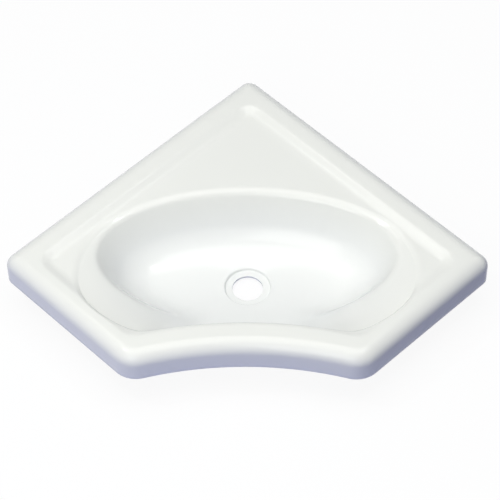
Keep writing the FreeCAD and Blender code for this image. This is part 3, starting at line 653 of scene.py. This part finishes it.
def floorHeight(distance):
    share = (footCurve - distance) / (footCurve - basin["recessRadius"])
    return between(footLevel, floorLevel, share)


for step in range(basin["floorSteps"] + 1):
    share = (step + basin["floorStart"]) / (basin["floorSteps"] + basin["floorStart"])
    distance = between(footCurve, recessEdge + basin["recessMargin"], share)
    addRing(distance, floorHeight(distance))

# recess with a rounded edge and foot, and the waste hole
recessLevel = floorLevel - basin["recessDepth"]
edgeRound = basin["recessRound"]
footBend = basin["recessBend"]
edgeHeight = float(floorHeight(recessEdge * everySpoke).mean())
for turn in quarterTurn(basin["recessSteps"]):
    addRing(recessEdge - edgeRound * math.sin(turn), edgeHeight - edgeRound * (1 - math.cos(turn)))
for turn in quarterTurn(basin["recessSteps"]):
    addRing(basin["recessRadius"] - footBend * (1 - math.cos(turn)),
            recessLevel + footBend * (1 - math.sin(turn)))
holeRound = basin["holeRound"]
holeEdge = basin["wasteRadius"] + holeRound
addRing(holeEdge + basin["holeMargin"], recessLevel)
addRing(holeEdge, recessLevel)
topCount = len(rings)
for turn in quarterTurn(basin["holeSteps"])[1:]:
    addRing(holeEdge - holeRound * math.sin(turn), recessLevel - holeRound * (1 - math.cos(turn)))
print("basin profile:", len(rings), "rings on", 2 * basin["halfSpokes"], "spokes")


# full rings of points: the right half from front to rear, then its mirror image back to the front
def fullRing(distance, heights):
    right = np.stack([distance * directionX, distance * directionY, heights], 1)
    right[0, 0] = right[-1, 0] = 0.0
    left = right[1:-1][::-1] * np.array([-1.0, 1.0, 1.0])
    return np.concatenate([right, left])


surface = np.stack([fullRing(*ring) for ring in rings])
for ring in range(lastWallRing, lastWallRing + basin["easedRings"]):    # eases the wall into the floor
    surface[ring, :, 2] = (surface[ring - 1, :, 2] + 2 * surface[ring, :, 2]
                           + surface[ring + 1, :, 2]) / 4


def surfaceNormals(grid):
    around = np.roll(grid, -1, axis=1) - np.roll(grid, 1, axis=1)
    inward = np.gradient(grid, axis=0)
    normal = np.cross(around, inward)
    return normal / np.linalg.norm(normal, axis=2, keepdims=True)


# the back of the sheet, with fewer rings than its front
keptRings = [*range(0, topCount - 1, basin["backStep"]), topCount - 1]
under = (surface[:topCount] - surfaceNormals(surface[:topCount]) * basin["sheet"])[keptRings]
under[0, :, 2] = 0.0
under[-1] = surface[-1]
under[-1, :, 2] = recessLevel - basin["sheet"]


def meshObject(name, points, faces, materials, faceMaterials=None, smooth=True):
    mesh = bpy.data.meshes.new(name)
    mesh.from_pydata([tuple(point) for point in points], [], faces)
    for material in materials:
        mesh.materials.append(material)
    if faceMaterials is not None:
        mesh.polygons.foreach_set("material_index", faceMaterials)
    mesh.polygons.foreach_set("use_smooth", [smooth] * len(mesh.polygons))
    mesh.validate()
    mesh.update()
    item = bpy.data.objects.new(name, mesh)
    bpy.context.scene.collection.objects.link(item)
    return item


def gridFaces(rowCount, columnCount, start, flipped):
    faces = []
    for row in range(rowCount - 1):
        for column in range(columnCount):
            following = (column + 1) % columnCount
            a = start + row * columnCount + column
            b = start + row * columnCount + following
            c = b + columnCount
            d = a + columnCount
            faces.append((a, d, c, b) if flipped else (a, b, c, d))
    return faces


def shellObject():
    columnCount = surface.shape[1]
    points = np.concatenate([surface.reshape(-1, 3), under.reshape(-1, 3)]) * mm
    backStart = len(rings) * columnCount
    topFaces = gridFaces(len(rings), columnCount, 0, False)
    backFaces = gridFaces(len(keptRings), columnCount, backStart, True)
    lastTop = backStart - columnCount
    lastBack = len(points) - columnCount
    edgeFaces = []                           # at the skirt's trimmed edge and in the waste hole
    for column in range(columnCount):
        following = (column + 1) % columnCount
        edgeFaces.append((column, backStart + column, backStart + following, following))
        edgeFaces.append((lastTop + column, lastTop + following,
                          lastBack + following, lastBack + column))
    indices = [0] * (len(topFaces) + len(edgeFaces)) + [1] * len(backFaces)
    return meshObject("basin_skin", points, topFaces + edgeFaces + backFaces,
                      [mouldingMaterial("mouldingGloss", mouldingLook["roughness"]),
                       mouldingMaterial("mouldingBack", mouldingLook["backRoughness"])], indices)


basinSkin = shellObject()
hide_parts("basin_shell")
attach(basinSkin, "root")
print("basin skin:", len(basinSkin.data.polygons), "faces")


# The hidden frame keeps its solids, and each piece gets its material here.
hiddenFrame = {
    "bondGap": 0.3, "battenWidth": 18.0, "sideBlock": 46.0, "frontBlock": 44.0, "gussetLeg": 140.0,
    "boardInset": 48.0, "angleThickness": 2.0,
}


def cover(name, material):
    slots = cadNodes[name].data.materials
    slots.clear()
    slots.append(material)


grainTurns = {                               # which way the timber of each piece runs
    "timberRight": (-45.0, ("right_wall_batten", "left_return_batten", "left_front_block",
                            "right_side_block")),
    "timberLeft": (45.0, ("left_wall_batten", "right_return_batten", "right_front_block",
                          "left_side_block")),
    "timberFront": (0.0, ("front_batten", "rear_gusset")),
}
for name, (turn, pieces) in grainTurns.items():
    timber = timberMaterial(name, turn)
    for piece in pieces:
        cover(piece, timber)
boardLow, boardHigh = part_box("deck_board")
cover("deck_board", plywoodMaterial("plywood", boardLow[2], boardHigh[2]))
cover("waste_backing_ring", backingMaterial("backingRing"))
stripTurns = {"right_wall": -45.0, "left_wall": 45.0, "right_return": 45.0, "left_return": -45.0,
              "front": 0.0}
for name, turn in stripTurns.items():
    cover(name + "_angle", steelMaterial("zinc_" + name, turn))
print("frame pieces covered")


# Screws: one of each kind is turned as a mesh, then set at its seats by geometry nodes.
screws = {
    "sides": 24, "radius": 2.0, "root": 1.62, "threadPitch": 1.3, "crest": 0.4, "tip": 3.0,
    "point": 0.75, "neck": 1.6, "shank": 1.96, "headRadius": 3.8, "headHeight": 2.4,
    "headEdge": 0.25, "crown": 1.2, "crownSteps": 3,
    "recessLength": 4.4, "recessWidth": 0.9, "recessDepth": 1.5,
    # of the angles, and of the gusset
    "angleLength": 14.0, "pitch": 16.0, "offset": 12.0, "angleSeed": 7,
    "gussetLength": 29.0, "gussetSetback": 12.0, "gussetRow": 15.0, "gussetSpread": 26.0,
    "gussetSeed": 11,
}


# half profile of a screw that points down, from its tip up to the top of its head
def screwProfile(length, flush):
    top = -screws["headHeight"] if flush else 0.0
    crest = screws["crest"]
    height = screws["tip"] - length
    profile = [(0.0, -length), (screws["point"], screws["tip"] * crest - length),
               (screws["root"], height)]
    while height < top - screws["neck"] - screws["threadPitch"]:
        profile.append((screws["radius"], height + screws["threadPitch"] * crest))
        profile.append((screws["root"], height + screws["threadPitch"]))
        height += screws["threadPitch"]
    profile.append((screws["shank"], top - screws["neck"] / 2))
    profile.append((screws["shank"], top))
    if flush:
        return profile + [(screws["headRadius"], -screws["headEdge"]),
                          (screws["headRadius"], 0.0), (0.0, 0.0)]
    profile.append((screws["headRadius"], 0.0))
    crown = screws["crown"]
    for turn in quarterTurn(screws["crownSteps"]):
        profile.append((screws["headRadius"] - crown * (1 - math.cos(turn)),
                        screws["headHeight"] - crown * (1 - math.sin(turn))))
    return profile + [(0.0, screws["headHeight"])]


def turnedObject(name, profile):
    sides = screws["sides"]
    points = [(0.0, 0.0, profile[0][1] * mm)]
    for radius, height in profile[1:-1]:
        for side in range(sides):
            turn = 2 * math.pi * side / sides
            points.append((radius * math.cos(turn) * mm, radius * math.sin(turn) * mm, height * mm))
    points.append((0.0, 0.0, profile[-1][1] * mm))
    last = len(points) - 1
    faces = []
    for side in range(sides):
        following = (side + 1) % sides
        faces.append((0, 1 + following, 1 + side))
        faces.append((last, last - sides + side, last - sides + following))
    faces += gridFaces(len(profile) - 2, sides, 1, False)
    return meshObject(name, points, faces, [], smooth=False)


# node group: cuts a cross recess into the head, sets a screw at each point and turns it at random
def screwSetting():
    group = bpy.data.node_groups.new("screwSetting", "GeometryNodeTree")
    for name, kind in (("Points", "Geometry"), ("Screw", "Object"), ("Recess", "Vector"),
                       ("Recess Height", "Float"), ("Finish", "Material"), ("Seed", "Int")):
        group.interface.new_socket(name, in_out="INPUT", socket_type="NodeSocket" + kind)
    group.interface.new_socket("Screws", in_out="OUTPUT", socket_type="NodeSocketGeometry")
    nodes = Nodes(group)
    add = nodes.node

    def given(name):
        return add("NodeGroupInput", {}, {}, name)

    screw = add("GeometryNodeObjectInfo", {}, {"Object": given("Screw")}, "Geometry")
    bar = add("GeometryNodeMeshCube", {}, {"Size": given("Recess")}, "Mesh")
    lift = add("ShaderNodeCombineXYZ", {}, {"Z": given("Recess Height")})
    cuts = [add("GeometryNodeTransform", {}, {
        "Geometry": bar, "Translation": lift, "Rotation": (0.0, 0.0, turn)})
        for turn in (0.0, math.pi / 2)]
    carved = add("GeometryNodeMeshBoolean", {"operation": "DIFFERENCE"}, {
        "Mesh 1": screw, "Mesh 2": cuts}, "Mesh")
    facing = add("GeometryNodeInputNamedAttribute", {"data_type": "FLOAT_VECTOR"},
                 {"Name": "facing"}, "Attribute")
    aimed = add("FunctionNodeAlignRotationToVector", {"axis": "Z"}, {"Vector": facing})
    chance = add("FunctionNodeRandomValue", {"data_type": "FLOAT"}, {
        "Min": 0.0, "Max": math.pi, "Seed": given("Seed")}, "Value")
    spin = add("FunctionNodeAxisAngleToRotation", {}, {"Axis": (0.0, 0.0, 1.0), "Angle": chance})
    turned = add("FunctionNodeRotateRotation", {"rotation_space": "LOCAL"}, {
        "Rotation": aimed, "Rotate By": spin})
    placed = add("GeometryNodeInstanceOnPoints", {}, {
        "Points": given("Points"), "Instance": carved, "Rotation": turned})
    real = add("GeometryNodeRealizeInstances", {}, {"Geometry": placed})
    painted = add("GeometryNodeSetMaterial", {}, {"Geometry": real, "Material": given("Finish")})
    nodes.feed(group.nodes.new("NodeGroupOutput").inputs["Screws"], painted)
    return group


# sets screws at their seats, each a place and the way that its head faces
def setScrews(name, node, seats, length, flush, seed):
    item = meshObject(name, [place for place, facing in seats], [], [])
    attribute = item.data.attributes.new("facing", "FLOAT_VECTOR", "POINT")
    attribute.data.foreach_set("vector", [part for place, facing in seats for part in facing])
    pattern = turnedObject(name + "_pattern", screwProfile(length, flush))
    modifier = item.modifiers.new("setting", "NODES")
    modifier.node_group = screwGroup
    top = 0.0 if flush else screws["headHeight"]
    recess = (screws["recessLength"], screws["recessWidth"], 2 * screws["recessDepth"])
    values = {"Screw": pattern, "Finish": screwFinish, "Seed": seed,
              "Recess": tuple(side * mm for side in recess), "Recess Height": top * mm}
    for socket in screwGroup.interface.items_tree:
        if socket.name in values and socket.in_out == "INPUT":
            modifier[socket.identifier] = values[socket.name]
    bpy.context.view_layer.update()
    evaluated = item.evaluated_get(bpy.context.evaluated_depsgraph_get())
    mesh = bpy.data.meshes.new_from_object(evaluated)
    item.modifiers.clear()
    item.data = mesh
    bpy.data.objects.remove(pattern)
    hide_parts(node)
    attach(item, "root")
    print(name, len(mesh.polygons), "faces")


# two seats on each of the five angles, which stand midway along the battens
def angleSeats():
    rearCorner = np.array([0.0, basin["wasteSetback"]])
    frontInward = np.array([0.0, 1.0])
    battenInset = basin["sheet"] + hiddenFrame["bondGap"]
    inset = battenInset + hiddenFrame["battenWidth"] + hiddenFrame["angleThickness"]
    wallMiddle = (hiddenFrame["gussetLeg"] + basin["wallLength"] - hiddenFrame["sideBlock"]) / 2
    returnMiddle = (battenInset + hiddenFrame["sideBlock"]
                    + basin["returnLength"] - hiddenFrame["frontBlock"]) / 2
    places = (
        (rearCorner + alongWall * wallMiddle + wallInward * inset, wallInward, (-1, 1)),
        (sideCorner + alongReturn * returnMiddle + returnInward * inset, returnInward, (-1, 1)),
        (arcCentre + frontInward * (arcRadius + inset), frontInward, (1,)),
    )
    seats = []
    for (x, y), inward, sides in places:
        for side in sides:                   # left, which mirrors right, and right
            for shift in (-screws["pitch"] / 2, screws["pitch"] / 2):
                place = (side * (x + inward[1] * shift) * mm, (y - inward[0] * shift) * mm,
                         screws["offset"] * mm)
                seats.append((place, (side * inward[0], inward[1], 0.0)))
    return seats


# three seats in the gusset, in front of the deck board's apex
def gussetSeats():
    boardApex = basin["wasteSetback"] - hiddenFrame["boardInset"] / diagonal
    first = boardApex - screws["gussetSetback"]
    second = first - screws["gussetRow"]
    spread = screws["gussetSpread"] / 2
    return [((x * mm, y * mm, 0.0), (0.0, 0.0, -1.0))
            for x, y in ((0.0, first), (-spread, second), (spread, second))]


screwFinish = screwMaterial("screwZinc")
screwGroup = screwSetting()
setScrews("angle_screw_set", "angle_screws", angleSeats(), screws["angleLength"], False,
          screws["angleSeed"])
setScrews("gusset_screw_set", "gusset_screws", gussetSeats(), screws["gussetLength"], True,
          screws["gussetSeed"])


# The floor and the world are white to the camera. The floor's colour for bounced light is painted:
# pale blue at the left for a painted blue cast on the skirts, and dark blue at the right for painted
# shade on the right skirt. The sky is brightest overhead.
studio = {
    "floorLevel": -45.8, "floorSize": 6000.0, "whiteShare": 0.92, "paleFloor": (0.94, 0.95, 0.97),
    "paintedBounceLeft": (0.34, 0.37, 0.68), "paintedShadeRight": (0.01, 0.03, 0.26), "paintedBounceChange": (100.0, 260.0),
    "horizon": (0.02, 0.03, 0.09), "midway": (0.10, 0.115, 0.16), "zenith": (0.30, 0.30, 0.29),
    "brightSide": (-0.15, 0.05, 0.98),
}


def makeFloor():
    half = studio["floorSize"] / 2 * mm
    z = studio["floorLevel"] * mm
    corners = [(-half, -half, z), (half, -half, z), (half, half, z), (-half, half, z)]
    paint = Material("floorPaint")
    # painted bounce light and shade: the floor's bounce colour runs from pale blue at the left to dark
    # blue at the right
    first, last = studio["paintedBounceChange"]
    share = (paint.axis("X") - first * mm) / ((last - first) * mm)
    paintedBounceTint = paint.ramp(share, (0.0, studio["paintedBounceLeft"]), (1.0, studio["paintedShadeRight"]))
    bounced = paint.node("ShaderNodeBsdfDiffuse", {}, {"Color": paintedBounceTint})
    pale = paint.node("ShaderNodeBsdfDiffuse", {}, {"Color": studio["paleFloor"]})
    glow = paint.node("ShaderNodeEmission", {}, {"Color": white})
    shown = paint.mixShaders(studio["whiteShare"], pale, glow)     # keeps a faint shadow
    paint.finish("ShaderNodeOutputMaterial",
                 paint.mixShaders(paint.seenByCamera(), bounced, shown))
    floor = meshObject("floor", corners, [(0, 1, 2, 3)], [paint.data], smooth=False)


def makeWorld():
    world = bpy.data.worlds.new("studioWorld")
    bpy.context.scene.world = world
    world.use_nodes = True
    sky = Nodes(world.node_tree)
    place = sky.node("ShaderNodeTexCoord", {}, {}, "Generated")
    facing = sky.node("ShaderNodeVectorMath", {"operation": "DOT_PRODUCT"},
                      {0: place, 1: studio["brightSide"]}, "Value")
    tone = sky.ramp(facing, (0.0, studio["horizon"]), (0.5, studio["midway"]),
                    (1.0, studio["zenith"]))
    soft = sky.node("ShaderNodeBackground", {}, {"Color": tone})
    plain = sky.node("ShaderNodeBackground", {}, {"Color": white})
    sky.finish("ShaderNodeOutputWorld", sky.mixShaders(sky.seenByCamera(), soft, plain))


# square lamps that face the waste axis: place and size in metres, watts and colour
lamps = {
    "top": ((-0.1, 0.0, 2.0), 1.7, 22.6, (1.0, 0.995, 0.965)),
    "key": ((-0.72, -1.53, 1.41), 1.4, 16.8, (1.0, 0.99, 0.97)),
    "leftGlint": ((-0.91, 0.0, 1.78), 0.1, 4.2, (1.0, 1.0, 1.0)),
    "rightGlint": ((0.72, 0.0, 1.87), 0.1, 2.6, (1.0, 1.0, 1.0)),
}


def makeLamps():
    for name, (place, width, watts, colour) in lamps.items():
        data = bpy.data.lights.new(name, "AREA")
        data.shape = "SQUARE"
        data.size = width
        data.energy = watts
        data.color = colour
        lamp = bpy.data.objects.new(name, data)
        lamp.location = place
        lamp.rotation_euler = (-Vector(place)).to_track_quat("-Z", "Y").to_euler()
        bpy.context.scene.collection.objects.link(lamp)


view = {
    "azimuth": 1.243, "elevation": 51.735, "roll": -0.897, "distance": 3284.3,
    "target": (2.95, 31.44, 0.0), "sensor": 36.0, "lens": 188.36,
}


def makeCamera():
    data = bpy.data.cameras.new("camera")
    data.sensor_width = view["sensor"]
    data.lens = view["lens"]
    camera = bpy.data.objects.new("camera", data)
    camera.matrix_world = (
        Matrix.Translation(Vector(view["target"]) * mm)
        @ Matrix.Rotation(math.radians(view["azimuth"]), 4, "Z")
        @ Matrix.Rotation(math.radians(90 - view["elevation"]), 4, "X")
        @ Matrix.Rotation(math.radians(view["roll"]), 4, "Z")
        @ Matrix.Translation((0.0, 0.0, view["distance"] * mm)))
    bpy.context.scene.collection.objects.link(camera)
    bpy.context.scene.camera = camera


makeFloor()
makeWorld()
makeLamps()
makeCamera()
bpy.context.scene.view_settings.view_transform = "Standard"
print("stage ready")
